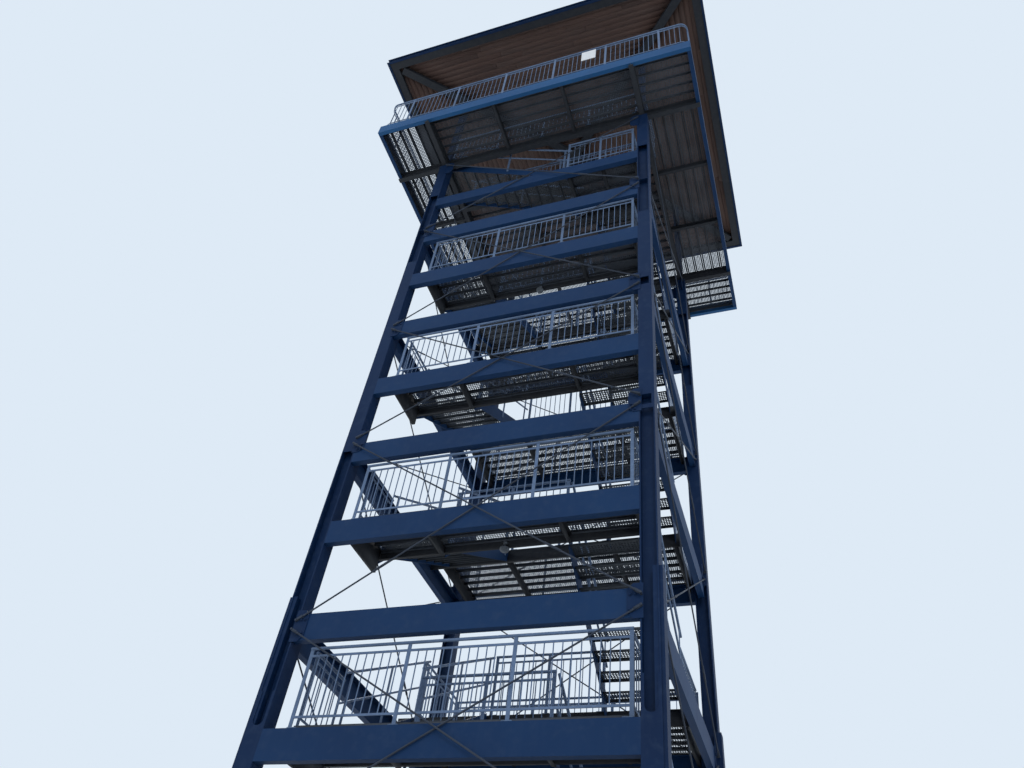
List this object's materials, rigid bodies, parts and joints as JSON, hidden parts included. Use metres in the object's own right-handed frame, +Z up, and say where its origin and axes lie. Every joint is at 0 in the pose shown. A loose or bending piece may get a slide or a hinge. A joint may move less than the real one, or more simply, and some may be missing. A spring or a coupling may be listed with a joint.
{
  "type": "fire lookout tower",
  "caption": "Steel-framed lookout tower with crossed bracing rods, an open switchback stair on perforated planks, a railed deck and a low hipped roof.",
  "frame": {"origin": "middle of the tower's plan at the underside of its base plates", "axes": "+Z up, -Y towards the front with the front landings, +X to the right seen from the front"},
  "size_m": [8.604, 8.494, 24.744],
  "materials": {
    "navy_paint": "dark blue gloss paint on steel",
    "blue_paint": "mid blue paint on steel",
    "galvanised": "hot-dip galvanised steel with a dull spangle",
    "dark_steel": "dark weathered paint on steel",
    "timber": "brown stained soffit boards",
    "sheet_roof": "matt grey coated roof sheet",
    "white_board": "plain white painted sheet"
  },
  "bodies": {
    "root": {"base_plates": "navy_paint", "leg_front_left": "navy_paint", "leg_front_right": "navy_paint", "leg_back_left": "navy_paint", "leg_back_right": "navy_paint", "front_beams": "blue_paint", "back_beams": "blue_paint", "left_beams": "blue_paint", "right_beams": "blue_paint", "front_bracing": "galvanised", "back_bracing": "galvanised", "left_bracing": "galvanised", "right_bracing": "galvanised", "gusset_plates": "navy_paint", "front_landing_frames": "dark_steel", "front_landing_planks": "galvanised", "back_landing_frames": "dark_steel", "back_landing_planks": "galvanised", "top_landing": "dark_steel", "stair_stringers": "blue_paint", "stair_treads": "galvanised", "stair_handrails": "galvanised", "front_landing_railings": "galvanised", "back_landing_railings": "galvanised", "deck_beams_across": "dark_steel", "deck_beams_front_to_back": "dark_steel", "deck_joists": "dark_steel", "deck_edge_front_and_back": "blue_paint", "deck_edge_sides": "blue_paint", "deck_planks": "galvanised", "deck_railing_front": "galvanised", "deck_railing_back": "galvanised", "deck_railing_left": "galvanised", "deck_railing_right": "galvanised", "stairwell_railings": "galvanised", "roof_posts": "navy_paint", "eave_beams_front_and_back": "dark_steel", "eave_beams_sides": "dark_steel", "hip_beams": "dark_steel", "hip_boss": "dark_steel", "roof_edge_front_and_back": "navy_paint", "roof_edge_sides": "navy_paint", "soffit_boards": "timber", "roof_covering": "sheet_roof", "blank_board": "white_board"}
  },
  "joints": []
}
